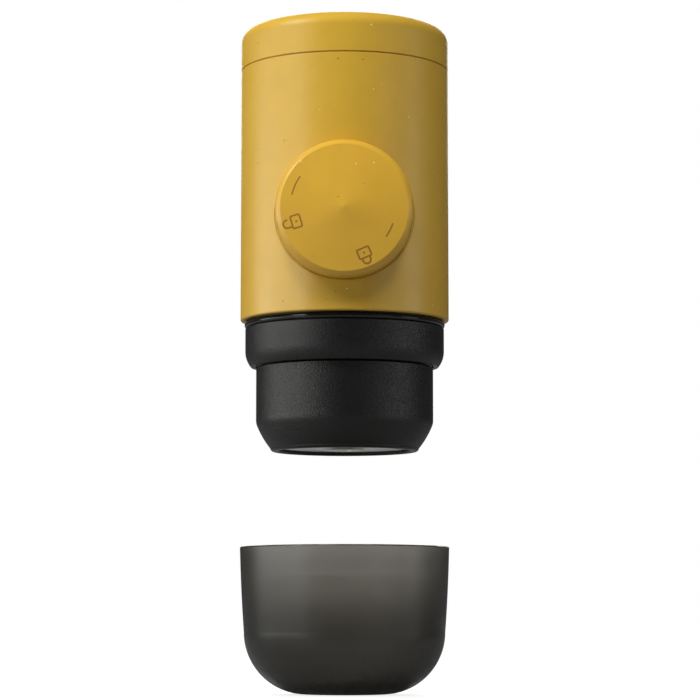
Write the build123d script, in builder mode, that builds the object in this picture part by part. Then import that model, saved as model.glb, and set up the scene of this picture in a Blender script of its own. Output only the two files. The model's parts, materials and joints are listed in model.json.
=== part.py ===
from build123d import *
import os
from math import cos, radians, sin

# Handheld manual espresso maker, in millimetres. +Z is up and the pump knob faces -Y.
# The maker is held over its own cup, on one axis, and the origin is the centre of the cup's foot.
# Its spring-return pump lies across the body. A bayonet in the knob holds the pump shut for travel.

# Fits
gap = 0.4                        # free air between pieces that move past each other
running = 0.06                   # radial play of a shaft in its bush
press = 0.05                     # radial play of a fixed piece in its seat
loose = 0.3                      # radial play of a screw in its clearance hole

# Outside of the maker
body_radius = 30.0               # grip sleeve, tank cap and the rim of the cup
wall = 1.8                       # moulded outer walls
inner_radius = 27.9              # round frame plates inside the sleeve
lip_z = 69.0                     # underside of the brew head
shoulder_z = lip_z + 24.1        # where the head meets the group head
group_z = shoulder_z + 0.2       # underside of the group head
plate_z = lip_z + 42.0           # top of the group head, where the pump housing stands
sleeve_z = lip_z + 37.5
sleeve_top = lip_z + 110.3
seam = 0.3                       # shadow line between sleeve and tank cap
cap_top = lip_z + 122.4

# Pump, whose axis runs along Y
pump_z = lip_z + 65.4
well_radius = 15.9               # bore that guides the piston carrier
well_floor_y = 3.5
well_mouth_y = -27.0
cylinder_bore = 6.5
cylinder_radius = 8.0
cylinder_mouth_y = -15.0
cylinder_end_y = 16.0
rod_radius = 4.0
carrier_front_y = -31.0
duct_y = 19.5                    # water pipes, behind the pump

# Knob
knob_radius = 19.2
knob_bore = 18.0
knob_skirt_y = -20.0
knob_face_y = -35.6              # edge of the face
knob_tip_y = -38.0               # small flat in the middle of the face
knob_play = 0.3                  # air round the knob in its opening
lock_angle = 70                  # width of each bayonet lug
ledge_angle = 86                 # width of each ledge that the lugs turn behind

# Frame plates
disc = 3.0                       # floor of the pump housing
ceiling = 2.5                    # ceiling of the pump housing, under the tank deck
deck_z = lip_z + 86.0
housing_height = deck_z - plate_z

# Brew head
neck_radius = 23.6
neck_bore = 21.6
neck_top = lip_z + 33.3
head_radius = 25.45

# Cup
cup_height = 41.8
cup_foot_radius = 11.2
cup_curve = 17.5                 # radius of the round lower wall

pump_plane = Plane(origin=(0, 0, pump_z), x_dir=(0, 1, 0), z_dir=(1, 0, 0))
pump_axis = Axis((0, 0, pump_z), (0, 1, 0))


def across(y):
    """Plane square to the pump axis at y, facing the front: local x is X and local y is Z."""
    return Plane(origin=(0, y, pump_z), x_dir=(1, 0, 0), z_dir=(0, -1, 0))


def radial(angle):
    """Plane through the pump axis: local x runs along it, local y points out at this clock angle."""
    turn = radians(angle)
    return Plane(origin=(0, 0, pump_z), x_dir=(0, 1, 0), z_dir=(cos(turn), 0, -sin(turn)))


def outline(plane, *points):
    """Closed face through the points, for a revolve or an extrusion in the part that asks for it."""
    with BuildSketch(plane, mode=Mode.PRIVATE) as face:
        with BuildLine():
            Polyline(*points, close=True)
        make_face()
    return face.sketch


# Grip sleeve: a plain tube with a round opening for the knob. Its inner ribs key it to the pump
# housing and are clamped between the housing's floor and the tank deck.
rib_width = 2.4
rib_reach = 1.2
opening_radius = knob_radius + knob_play
seam_edge = 0.2                  # rounding of the edges beside the seam and the knob
sleeve_bore = body_radius - wall
rib_base = plate_z + disc

with BuildPart() as grip_sleeve:
    with BuildSketch(Plane.XY.offset(sleeve_z)):
        Circle(body_radius)
        Circle(sleeve_bore, mode=Mode.SUBTRACT)
    extrude(amount=sleeve_top - sleeve_z)
    outer_edges = grip_sleeve.edges().filter_by(GeomType.CIRCLE).sort_by(SortBy.RADIUS)[-2:].sort_by(Axis.Z)
    fillet(outer_edges[0], 0.5)
    fillet(outer_edges[1], seam_edge)
    with BuildSketch(Plane.XY.offset(rib_base)):
        with PolarLocations(sleeve_bore - rib_reach / 2 + 0.2, 4, angular_range=180, endpoint=True):
            Rectangle(rib_reach + 0.4, rib_width)
    extrude(amount=deck_z - rib_base)
    with BuildSketch(across(-body_radius / 2)):
        Circle(opening_radius)
    extrude(amount=body_radius, mode=Mode.SUBTRACT)
    fillet(grip_sleeve.edges().filter_by(GeomType.BSPLINE).sort_by(Axis.Y)[0], seam_edge)

# Group head: the wide ring under the sleeve, with the threaded bore for the brew head, a groove for
# the cup's grip ring, and the water chamber above the shower screen.
ring_radius = 28.6
ring_foot_radius = 27.0
groove_z = lip_z + 35.4
groove_height = 1.85
groove_radius = 27.1
spigot_radius = 28.0
group_bore = neck_radius + 0.5
seal_seat_radius = 25.6
gasket_z = lip_z + 34.3
gasket_top = lip_z + 36.3
gasket_radius = 23.6
chamber_radius = 19.8
chamber_top = lip_z + 37.4
screen_z = lip_z + 35.0
screen_boss_radius = 3.2
screw_radius = 1.0
frame_screw_x, frame_screw_y = 20.0, 14.0
pilot = 3.6                      # depth of the frame screws' holes
screen_pilot = 5.5
foot_curve_z = lip_z + 28.8
seal_seat_z = group_z + 1.3
boss_z = screen_z + 0.6
gallery_y = 16.3
water_bore = 1.6                 # radius of every water passage

with BuildPart() as group_head:
    with BuildSketch(Plane.XZ):
        with BuildLine():
            TangentArc((ring_radius, foot_curve_z), (ring_foot_radius, group_z), tangent=(0, -1))
            Polyline(
                (ring_radius, foot_curve_z),
                (ring_radius, groove_z - 0.2),
                (ring_radius - 0.2, groove_z),
                (groove_radius, groove_z),
                (groove_radius, groove_z + groove_height),
                (spigot_radius, groove_z + groove_height),
                (spigot_radius, plate_z),
                (0, plate_z),
                (0, boss_z),
                (screen_boss_radius, boss_z),
                (screen_boss_radius, chamber_top),
                (chamber_radius, chamber_top),
                (chamber_radius, gasket_top),
                (gasket_radius + 0.2, gasket_top),
                (gasket_radius + 0.2, gasket_z - 0.1),
                (group_bore, gasket_z - 0.1),
                (group_bore, seal_seat_z),
                (seal_seat_radius, seal_seat_z),
                (seal_seat_radius, group_z),
                (ring_foot_radius, group_z),
            )
        make_face()
    revolve(axis=Axis.Z)
    # Gallery from the pump's outlet to the chamber
    with BuildSketch(Plane.XY.offset(chamber_top)):
        with Locations((0, gallery_y)):
            Rectangle(2 * water_bore, 4 * water_bore + 0.2)
    extrude(amount=2.2, mode=Mode.SUBTRACT)
    with BuildSketch(Plane.XY.offset(chamber_top + 0.8)):
        with Locations((0, duct_y)):
            Circle(water_bore)
    extrude(amount=disc + 1.0, mode=Mode.SUBTRACT)
    with BuildSketch(Plane.XY.offset(plate_z)):
        with GridLocations(2 * frame_screw_x, 2 * frame_screw_y, 2, 2):
            Circle(screw_radius + press)
    extrude(amount=-pilot, mode=Mode.SUBTRACT)
    with BuildSketch(Plane.XY.offset(boss_z)):
        Circle(screw_radius + press)
    extrude(amount=screen_pilot, mode=Mode.SUBTRACT)

# Grip ring: an O-ring in the group head's groove that holds the cup on when it is pushed home
grip_cord = 0.85

with BuildPart() as cup_grip_ring:
    with BuildSketch(Plane.XZ):
        with Locations((groove_radius + grip_cord + 0.03, groove_z + groove_height / 2)):
            Circle(grip_cord)
    revolve(axis=Axis.Z)

# Group gasket: the silicone ring that the rim of the filter basket is squeezed against
with BuildPart() as group_gasket:
    revolve(outline(Plane.XZ, (20.0, gasket_z), (gasket_radius, gasket_z), (gasket_radius, gasket_top),
                    (20.0, gasket_top)), axis=Axis.Z)
    chamfer(group_gasket.edges().group_by(Axis.Z)[0], 0.3)

# Shower screen: a perforated steel dish that spreads the water
screen_radius = 19.3
screen_rim_z = screen_z + 1.2
sheet = 0.5
hole_rings, hole_pitch, hole_radius = 3, 5.2, 0.6


def perforate(rings, pitch, hole):
    """Sketch the round holes of a screen: rings of 6, 12, 18 ... holes round its centre."""
    with BuildSketch(mode=Mode.PRIVATE) as holes:
        for ring in range(1, rings + 1):
            with PolarLocations(ring * pitch, 6 * ring):
                Circle(hole)
    return holes.sketch


with BuildPart() as shower_screen:
    revolve(outline(Plane.XZ, (0, screen_z), (screen_radius - 0.4, screen_z), (screen_radius, screen_z + 0.4),
                    (screen_radius, screen_rim_z), (screen_radius - sheet, screen_rim_z),
                    (screen_radius - sheet, screen_z + sheet + 0.1), (0, screen_z + sheet + 0.1)), axis=Axis.Z)
    with BuildSketch(Plane.XY.offset(screen_z)):
        add(perforate(hole_rings, hole_pitch, hole_radius))
        Circle(screw_radius + loose)
    extrude(amount=sheet + 0.1, mode=Mode.SUBTRACT)

with BuildPart() as screen_screw:
    revolve(outline(Plane.XZ, (0, screen_z - 1.0), (2.6, screen_z - 1.0), (3.0, screen_z - 0.5), (3.0, screen_z),
                    (screw_radius, screen_z), (screw_radius, screen_z + 5.8), (0, screen_z + 5.8)), axis=Axis.Z)
    with BuildSketch(Plane.XY.offset(screen_z - 1.0)):
        Rectangle(0.8, 4.0)
        Rectangle(4.0, 0.8)
    extrude(amount=0.6, mode=Mode.SUBTRACT)

# Pump housing: floor and ceiling plates joined by two cross webs, round a well that guides the
# piston carrier. The well's tube carries the two bayonet ledges inside the knob's skirt.
well_outer = 17.4
well_nose = 16.9                 # thinner tube inside the knob's skirt
ledge_radius = 17.8
ledge_front_y, ledge_back_y = -26.9, -25.4
pocket_y = knob_skirt_y + 0.7
well_floor = 2.5
rear_tube_radius = 10.4
flange_y = cylinder_end_y - 2.0
flange_radius = 10.2
web, web_length = 2.4, 51.0
front_web_y = -8.6
key_width = 2.2
key_radius = 15.2
post_x, post_radius = 12.5, 3.0
deck_screw_x, deck_screw_y = 17.0, 12.0
boss_drop = 5.5                  # reach of the deck screws' bosses below the deck
post_pilot = 8.0
pipe_radius = 3.0
vent_y, vent_well = -17.0, 3.4

with BuildPart() as pump_housing:
    for level, thickness in ((plate_z, disc), (deck_z - ceiling, ceiling)):
        with BuildSketch(Plane.XY.offset(level)):
            Circle(inner_radius)
        extrude(amount=thickness)
    with BuildSketch(Plane.XY.offset(plate_z)):
        with Locations((0, front_web_y - web / 2), (0, well_floor_y + well_floor / 2)):
            Rectangle(web_length, web)
    extrude(amount=housing_height)
    revolve(outline(pump_plane, (well_mouth_y, 0), (well_mouth_y, well_nose), (pocket_y, well_nose),
                    (pocket_y, well_outer), (well_floor_y + well_floor, well_outer),
                    (well_floor_y + well_floor, rear_tube_radius), (flange_y, rear_tube_radius),
                    (flange_y, 0)), axis=pump_axis)
    with BuildSketch(across(well_floor_y)):
        with Locations((-post_x, 0), (post_x, 0)):
            Circle(post_radius)
    extrude(amount=well_floor_y - cylinder_end_y)
    with BuildSketch(Plane.XY.offset(deck_z - 1)):
        with GridLocations(2 * deck_screw_x, 2 * deck_screw_y, 2, 2):
            Circle(post_radius)
    extrude(amount=-boss_drop - 1.5)
    # Well, cylinder seat and the seat of the cylinder's flange
    revolve(outline(pump_plane, (well_mouth_y, 0), (well_mouth_y, well_radius), (well_floor_y, well_radius),
                    (well_floor_y, cylinder_radius + press), (flange_y, cylinder_radius + press),
                    (flange_y, flange_radius + 0.1), (cylinder_end_y, flange_radius + 0.1),
                    (cylinder_end_y, 0)), axis=pump_axis, mode=Mode.SUBTRACT)
    # Room for the knob's skirt round the nose of the well
    revolve(outline(pump_plane, (-body_radius, well_nose), (-body_radius, opening_radius),
                    (pocket_y, opening_radius), (pocket_y, well_nose)), axis=pump_axis, mode=Mode.SUBTRACT)
    for clock in (0, 180):
        revolve(outline(radial(clock - ledge_angle / 2), (ledge_front_y, well_nose - 0.3),
                        (ledge_front_y, ledge_radius - 0.4), (ledge_front_y + 0.4, ledge_radius),
                        (ledge_back_y, ledge_radius), (ledge_back_y, well_nose - 0.3)),
                axis=pump_axis, revolution_arc=ledge_angle)
    # Two keys that stop the piston carrier from turning with the knob
    with BuildSketch(across(well_floor_y)):
        with Locations((-(key_radius + 0.5), 0), (key_radius + 0.5, 0)):
            Rectangle(1.0, key_width)
    extrude(amount=well_floor_y - well_mouth_y - 1.0)
    with BuildSketch(across(cylinder_end_y)):
        with Locations((-post_x, 0), (post_x, 0)):
            Circle(screw_radius + press)
    extrude(amount=post_pilot, mode=Mode.SUBTRACT)
    # Notches for the sleeve's ribs, pipe holes, screw holes and the vent's clearance
    with BuildSketch(Plane.XY.offset(deck_z)):
        with PolarLocations(inner_radius, 4, angular_range=180, endpoint=True):
            Rectangle(2 * rib_reach + 0.2, rib_width + 0.6)
        with GridLocations(2 * deck_screw_x, 2 * deck_screw_y, 2, 2):
            Circle(screw_radius + press)
        with Locations((0, duct_y)):
            Circle(pipe_radius + press)
        with Locations((0, vent_y)):
            Circle(vent_well)
    extrude(amount=-boss_drop - 1.2, mode=Mode.SUBTRACT)
    with BuildSketch(Plane.XY.offset(plate_z)):
        with Locations((0, duct_y)):
            Circle(pipe_radius + press)
        with GridLocations(2 * frame_screw_x, 2 * frame_screw_y, 2, 2):
            Circle(screw_radius + loose)
    extrude(amount=disc, mode=Mode.SUBTRACT)


def pan_screws(plane, places, head_radius, head, shank):
    """Like pan-head screws at the places: heads on the plane's front, shanks behind it."""
    with BuildPart(mode=Mode.PRIVATE) as group:
        with BuildSketch(plane):
            with Locations(*places):
                Circle(head_radius)
        extrude(amount=head, taper=15)
        with BuildSketch(plane):
            with Locations(*places):
                Circle(screw_radius)
        extrude(amount=-shank)
    return group.part


# Tank deck: the floor of the tank's seat, with the threaded upstand that the tank screws on to
upstand_radius = 25.9
upstand_bore = 23.9
upstand_top = lip_z + 94.5
deck = 2.5
deck_top = deck_z + deck
vent_ring, vent_stem = 2.2, 1.0
vent_head = 3.4

with BuildPart() as tank_deck:
    revolve(outline(Plane.XZ, (0, deck_z), (inner_radius, deck_z), (inner_radius, deck_top),
                    (upstand_radius, deck_top), (upstand_radius, upstand_top - 0.6),
                    (upstand_radius - 0.6, upstand_top), (upstand_bore, upstand_top),
                    (upstand_bore, deck_top), (0, deck_top)), axis=Axis.Z)
    with BuildSketch(Plane.XY.offset(deck_z)):
        with Locations((0, duct_y)):
            Circle(water_bore)
        with GridLocations(2 * deck_screw_x, 2 * deck_screw_y, 2, 2):
            Circle(screw_radius + loose)
        with Locations((0, vent_y)):
            Circle(vent_stem + press)
            with PolarLocations(vent_ring, 4):
                Circle(0.5)
    extrude(amount=deck, mode=Mode.SUBTRACT)

pan_radius, pan_height = 2.0, 1.4
frame_places = [(x, y) for x in (-frame_screw_x, frame_screw_x) for y in (-frame_screw_y, frame_screw_y)]
deck_places = [(x, y) for x in (-deck_screw_x, deck_screw_x) for y in (-deck_screw_y, deck_screw_y)]

with BuildPart() as housing_screws:
    add(pan_screws(Plane.XY.offset(plate_z + disc), frame_places, pan_radius, pan_height,
                   disc + pilot - gap))

with BuildPart() as deck_screws:
    add(pan_screws(Plane.XY.offset(deck_top), deck_places, pan_radius, pan_height, deck + boss_drop))

# Air vent of the tank: a silicone umbrella over four small holes in the deck
vent_plane = Plane(origin=(0, vent_y, 0), x_dir=(1, 0, 0), z_dir=(0, -1, 0))
with BuildPart() as vent_valve:
    revolve(outline(vent_plane, (0, deck_z - 1.6), (0.8, deck_z - 1.6), (1.5, deck_z), (vent_stem, deck_z),
                    (vent_stem, deck_top), (vent_head, deck_top), (vent_head - 0.4, deck_top + 0.6),
                    (0, deck_top + 1.1)), axis=Axis((0, vent_y, 0), (0, 0, 1)))

# Intake strainer: a slotted cap over the inlet in the tank's floor
strainer_radius, strainer_height, strainer_wall = 3.8, 3.6, 0.7
slot_width, slot_height = 0.8, 1.8
with BuildPart() as intake_strainer:
    with BuildSketch(Plane.XY.offset(deck_top)):
        with Locations((0, duct_y)):
            Circle(strainer_radius)
    extrude(amount=strainer_height)
    chamfer(intake_strainer.edges().group_by(Axis.Z)[-1], 0.6)
    with BuildSketch(Plane.XY.offset(deck_top)):
        with Locations((0, duct_y)):
            Circle(strainer_radius - strainer_wall)
    extrude(amount=strainer_height - 0.8, mode=Mode.SUBTRACT)
    with BuildSketch(Plane.XY.offset(deck_top + 0.5)):
        with Locations((0, duct_y)):
            Rectangle(slot_width, 2 * strainer_radius + 1)
            Rectangle(2 * strainer_radius + 1, slot_width)
    extrude(amount=slot_height, mode=Mode.SUBTRACT)

# Water pipes from the tank down to the valve block, and from there to the group head
block_half_height = 9.5
block_half_width = 8.0
block_depth = 7.5
block_top = pump_z + block_half_height
block_bottom = pump_z - block_half_height
socket = 2.5


def pipe(bottom, top):
    """Straight water pipe behind the pump between two heights."""
    with BuildPart(mode=Mode.PRIVATE) as tube:
        with BuildSketch(Plane.XY.offset(bottom)):
            with Locations((0, duct_y)):
                Circle(pipe_radius)
                Circle(water_bore, mode=Mode.SUBTRACT)
        extrude(amount=top - bottom)
    return tube.part


with BuildPart() as inlet_pipe:
    add(pipe(block_top - socket, deck_z))

with BuildPart() as outlet_pipe:
    add(pipe(plate_z, block_bottom + socket))

# Valve block: bolted behind the pump cylinder, with a chamber open to it and a valve bore across
chamber_bore = 4.0
valve_bore = 2.6
ear = 2.5
cover_bore, cover_seat = 4.6, 1.6
block_corner = 1.5
cover = 1.4
cover_pilot = 5.2
cover_screw_x, cover_screw_z = 5.9, 7.2
block_back_y = cylinder_end_y + block_depth

with BuildPart() as valve_block:
    with BuildSketch(across(cylinder_end_y)):
        RectangleRounded(2 * block_half_width, 2 * block_half_height, block_corner)
    extrude(amount=-block_depth)
    with BuildSketch(across(cylinder_end_y)):
        with Locations((-post_x, 0), (post_x, 0)):
            Circle(post_radius)
        Rectangle(2 * post_x, 2 * post_radius)
    extrude(amount=-ear)
    with BuildSketch(across(cylinder_end_y)):
        Circle(chamber_bore)
    extrude(amount=-block_depth, mode=Mode.SUBTRACT)
    with BuildSketch(across(block_back_y)):
        Circle(cover_bore)
    extrude(amount=cover_seat, mode=Mode.SUBTRACT)
    with BuildSketch(Plane.XY.offset(block_bottom)):
        with Locations((0, duct_y)):
            Circle(valve_bore)
    extrude(amount=2 * block_half_height, mode=Mode.SUBTRACT)
    for level in (block_bottom, block_top - socket):
        with BuildSketch(Plane.XY.offset(level)):
            with Locations((0, duct_y)):
                Circle(pipe_radius + press)
        extrude(amount=socket, mode=Mode.SUBTRACT)
    with BuildSketch(across(cylinder_end_y)):
        with Locations((-post_x, 0), (post_x, 0)):
            Circle(screw_radius + loose)
    extrude(amount=-ear, mode=Mode.SUBTRACT)
    with BuildSketch(across(block_back_y)):
        with GridLocations(2 * cover_screw_x, 2 * cover_screw_z, 2, 2):
            Circle(screw_radius + press)
    extrude(amount=cover_pilot, mode=Mode.SUBTRACT)


def duckbill(top):
    """One-way silicone valve that lets water down: a flange, and a bill that closes to a slit."""
    flange = 0.8
    with BuildPart(mode=Mode.PRIVATE) as valve:
        with BuildSketch(Plane.XY.offset(top)):
            with Locations((0, duct_y)):
                Circle(valve_bore - 0.1)
        extrude(amount=-flange)
        with BuildSketch(Plane.XY.offset(top - flange)):
            with Locations((0, duct_y)):
                Circle(1.7)
        with BuildSketch(Plane.XY.offset(top - 3.0)):
            with Locations((0, duct_y)):
                Rectangle(3.0, 0.7)
        loft()
    return valve.part


with BuildPart() as inlet_valve:
    add(duckbill(block_top - socket))

with BuildPart() as outlet_valve:
    add(duckbill(block_bottom + socket + 3.2))

with BuildPart() as valve_cover:
    with BuildSketch(across(block_back_y)):
        RectangleRounded(2 * block_half_width, 2 * block_half_height - 0.6, block_corner)
    extrude(amount=-cover)
    with BuildSketch(across(block_back_y)):
        Circle(cover_bore - press)
    extrude(amount=cover_seat - 0.1)
    with BuildSketch(across(block_back_y + cover)):
        with GridLocations(2 * cover_screw_x, 2 * cover_screw_z, 2, 2):
            Circle(screw_radius + loose)
    extrude(amount=cover, mode=Mode.SUBTRACT)

cover_places = [(x, z) for x in (-cover_screw_x, cover_screw_x) for z in (-cover_screw_z, cover_screw_z)]
back_of_cover = Plane(origin=(0, block_back_y + cover, pump_z), x_dir=(1, 0, 0), z_dir=(0, 1, 0))
back_of_ears = Plane(origin=(0, cylinder_end_y + ear, pump_z), x_dir=(1, 0, 0), z_dir=(0, 1, 0))

with BuildPart() as cover_screws:
    add(pan_screws(back_of_cover, cover_places, pan_radius - 0.3, pan_height - 0.4,
                   cover + cover_pilot - 0.6))

with BuildPart() as block_screws:
    add(pan_screws(back_of_ears, [(-post_x, 0), (post_x, 0)], pan_radius, pan_height, ear + post_pilot - 1))

# Pump cylinder, its face seal against the valve block, and the bush that guides the rod
face_seal_radius = 8.1
seal_groove = 0.9
vent_hole_y = -11.0

with BuildPart() as pump_cylinder:
    revolve(outline(pump_plane, (cylinder_mouth_y, cylinder_bore), (cylinder_mouth_y, cylinder_radius),
                    (flange_y, cylinder_radius), (flange_y, flange_radius), (cylinder_end_y, flange_radius),
                    (cylinder_end_y, face_seal_radius + 0.8),
                    (cylinder_end_y - seal_groove, face_seal_radius + 0.8),
                    (cylinder_end_y - seal_groove, face_seal_radius - 0.8),
                    (cylinder_end_y, face_seal_radius - 0.8),
                    (cylinder_end_y, cylinder_bore)), axis=pump_axis)
    with BuildSketch(Plane.XY.offset(pump_z)):
        with Locations((0, vent_hole_y)):
            Circle(0.8)
    extrude(amount=cylinder_radius + 1, both=True, mode=Mode.SUBTRACT)

with BuildPart() as cylinder_seal:
    with BuildSketch(pump_plane):
        with Locations((cylinder_end_y - seal_groove / 2, face_seal_radius)):
            Circle(seal_groove / 2 - 0.01)
    revolve(axis=pump_axis)

with BuildPart() as rod_bush:
    revolve(outline(pump_plane, (cylinder_mouth_y - 1, rod_radius + running), (cylinder_mouth_y - 1, 7.6),
                    (cylinder_mouth_y - 0.6, cylinder_radius), (cylinder_mouth_y, cylinder_radius),
                    (cylinder_mouth_y, cylinder_bore - press), (cylinder_mouth_y + 2.5, cylinder_bore - press),
                    (cylinder_mouth_y + 2.5, rod_radius + running)), axis=pump_axis)

# Piston: the carrier is the cup that slides in the well, over the spring. The rod is pinned in its
# boss, and the knob turns on its stud behind three hooks.
carrier_radius = well_radius - gap
carrier_bore = 13.9
carrier_skirt_y = 1.0
carrier_plate = 2.0
plate_back_y = carrier_front_y + carrier_plate
boss_radius = 6.5
boss_end_y = -23.5
pin_y = -26.2
stud_radius = 3.0
stud_end_y = -34.4
hook_inner, hook_outer = 7.8, 9.0
barb_radius = 6.2
barb_y, hook_end_y = -32.6, -33.3
hook_angle = 40
pin_radius = 1.0
air_ring, air_holes, air_hole_radius = 11.4, 6, 1.3

with BuildPart() as piston_carrier:
    revolve(outline(pump_plane, (stud_end_y, 0), (stud_end_y, stud_radius - 0.4), (stud_end_y + 0.4, stud_radius),
                    (carrier_front_y, stud_radius), (carrier_front_y, carrier_radius - 0.8),
                    (carrier_front_y + 0.8, carrier_radius), (carrier_skirt_y, carrier_radius),
                    (carrier_skirt_y, carrier_bore), (plate_back_y, carrier_bore),
                    (plate_back_y, boss_radius), (boss_end_y, boss_radius),
                    (boss_end_y, rod_radius + 0.03), (plate_back_y, rod_radius + 0.03),
                    (plate_back_y, 0)), axis=pump_axis)
    for clock in (0, 120, 240):
        revolve(outline(radial(clock - hook_angle / 2), (carrier_front_y + 0.5, hook_inner),
                        (carrier_front_y + 0.5, hook_outer), (barb_y, hook_outer),
                        (hook_end_y, hook_outer - 0.5), (hook_end_y, barb_radius + 0.6), (barb_y, barb_radius),
                        (barb_y, hook_inner)), axis=pump_axis, revolution_arc=hook_angle)
    # Grooves for the well's keys
    with BuildSketch(across(carrier_skirt_y)):
        with Locations((-carrier_radius, 0), (carrier_radius, 0)):
            Rectangle(2 * (carrier_radius - key_radius + 0.35), key_width + 0.8)
    extrude(amount=carrier_skirt_y - carrier_front_y, mode=Mode.SUBTRACT)
    # Hole for the rod's cross pin
    with BuildSketch(Plane.YZ):
        with Locations((pin_y, pump_z)):
            Circle(pin_radius + 0.03)
    extrude(amount=boss_radius + 1, both=True, mode=Mode.SUBTRACT)
    # Holes that let air past as the piston moves
    with BuildSketch(across(plate_back_y)):
        with PolarLocations(air_ring, air_holes, start_angle=30):
            Circle(air_hole_radius)
    extrude(amount=carrier_plate, mode=Mode.SUBTRACT)

head_front_y, head_back_y = 9.8, 15.4
head_outer = cylinder_bore - 0.2
seal_front_y, seal_back_y = 11.5, 13.5
seal_inner = 5.0

with BuildPart() as piston_rod:
    revolve(outline(pump_plane, (plate_back_y, 0), (plate_back_y, rod_radius), (head_front_y, rod_radius),
                    (head_front_y, head_outer), (seal_front_y, head_outer),
                    (seal_front_y, seal_inner), (seal_back_y, seal_inner), (seal_back_y, head_outer),
                    (head_back_y, head_outer), (head_back_y, 0)), axis=pump_axis)
    with BuildSketch(Plane.YZ):
        with Locations((pin_y, pump_z)):
            Circle(pin_radius + 0.03)
    extrude(amount=boss_radius, both=True, mode=Mode.SUBTRACT)

with BuildPart() as rod_pin:
    with BuildSketch(Plane.YZ):
        with Locations((pin_y, pump_z)):
            Circle(pin_radius)
    extrude(amount=boss_radius - 0.3, both=True)

with BuildPart() as piston_seal:
    revolve(outline(pump_plane, (seal_front_y + 0.1, seal_inner + press), (seal_front_y + 0.1, head_outer - 0.1),
                    (seal_front_y + 0.6, cylinder_bore - running), (seal_back_y - 0.1, cylinder_bore - running),
                    (seal_back_y - 0.1, 6.0), (seal_back_y - 0.9, 5.7), (seal_back_y - 0.1, 5.4),
                    (seal_back_y - 0.1, seal_inner + press)), axis=pump_axis)

# Return spring, round the cylinder, between the well's floor and the carrier's plate. Each half coil
# is half a ring in a plane tilted by a quarter of the pitch, so that the halves run on smoothly.
wire_radius = 0.55
spring_radius = 11.0
spring_coils = 7
spring_back_y = well_floor_y - wire_radius - 0.1
spring_front_y = plate_back_y + wire_radius + 0.1
half_pitch = (spring_back_y - spring_front_y) / spring_coils / 2

with BuildPart() as return_spring:
    for half in range(2 * spring_coils):
        side = 1 if half % 2 == 0 else -1
        start_y = spring_back_y - half * half_pitch
        tilted_axis = Axis((0, start_y - half_pitch / 2, pump_z), (side * half_pitch / 2, -spring_radius, 0))
        with BuildSketch(Plane.XY.offset(pump_z)):
            with Locations((side * spring_radius, start_y)):
                Circle(wire_radius)
        revolve(axis=tilted_axis, revolution_arc=180)

# Knob: a round button with a shallow conical face. It turns on the carrier's stud, and the lugs
# inside its skirt go behind the well's ledges to hold the pump shut.
hub_radius = 5.5
hub_flange = 7.4
hub_flange_y, hub_end_y = -32.3, -31.3
knob_inside_y = -33.6
lug_radius = 17.1
lug_front_y, lug_back_y = -23.6, -21.8
face_radius, tip_radius = 17.75, 0.3
knob_bevel_y = -33.9             # where the bevel round the face meets the skirt
bevel_swell = (-34.88, 18.63)    # middle of the slightly convex bevel
knob_ribs, rib_ring = 6, 14.1

with BuildPart() as knob_cap:
    with BuildSketch(pump_plane):
        with BuildLine():
            Polyline((knob_tip_y, 0), (knob_tip_y, tip_radius), (knob_face_y, face_radius))
            ThreePointArc((knob_face_y, face_radius), bevel_swell, (knob_bevel_y, knob_radius))
            Polyline(
                (knob_bevel_y, knob_radius),
                (knob_skirt_y, knob_radius),
                (knob_skirt_y, knob_bore),
                (knob_inside_y, knob_bore),
                (knob_inside_y, hub_radius),
                (hub_flange_y, hub_radius),
                (hub_flange_y, hub_flange),
                (hub_end_y, hub_flange),
                (hub_end_y, stud_radius + running),
                (stud_end_y - 0.4, stud_radius + running),
                (stud_end_y - 0.4, 0),
                (knob_tip_y, 0),
            )
        make_face()
    revolve(axis=pump_axis)
    for clock in (90, 270):
        revolve(outline(radial(clock - lock_angle / 2), (lug_front_y, knob_bore + 0.3),
                        (lug_front_y, lug_radius), (lug_back_y, lug_radius), (lug_back_y, knob_bore + 0.3)),
                axis=pump_axis, revolution_arc=lock_angle)
    with BuildSketch(across(knob_inside_y - 0.2)):
        with PolarLocations(rib_ring, knob_ribs):
            Rectangle(8.2, 1.2)
    extrude(amount=-2.2)

# Tank: a smoked vessel, open below, that screws on to the deck's upstand inside the sleeve. The
# sleeve-coloured cap is fixed over its top.
vessel_radius = 27.8
vessel_bore = 26.3
cap_round = 3.8
vessel_z = lip_z + 89.9
vessel_top = lip_z + 120.0
cap_z = sleeve_top + seam

with BuildPart() as tank_gasket:
    revolve(outline(Plane.XZ, (26.2, deck_top), (27.7, deck_top), (27.7, vessel_z - 0.2),
                    (26.2, vessel_z - 0.2)), axis=Axis.Z)

with BuildPart() as tank_vessel:
    with BuildSketch(Plane.XY.offset(vessel_z)):
        Circle(vessel_radius)
    extrude(amount=vessel_top - vessel_z)
    fillet(tank_vessel.edges().group_by(Axis.Z)[-1], 3.0)
    offset(amount=vessel_bore - vessel_radius, openings=tank_vessel.faces().sort_by(Axis.Z)[0])

with BuildPart() as tank_cap:
    with BuildSketch(Plane.XY.offset(cap_z)):
        Circle(body_radius)
    extrude(amount=cap_top - cap_z)
    fillet(tank_cap.edges().group_by(Axis.Z)[-1], cap_round)
    fillet(tank_cap.edges().group_by(Axis.Z)[0], seam_edge)
    with BuildSketch(Plane.XY.offset(cap_z)):
        Circle(vessel_radius + press)
    extrude(amount=vessel_top - cap_z, mode=Mode.SUBTRACT)
    fillet(tank_cap.edges().filter_by_position(Axis.Z, vessel_top, vessel_top), cap_round - 1.6)

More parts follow.
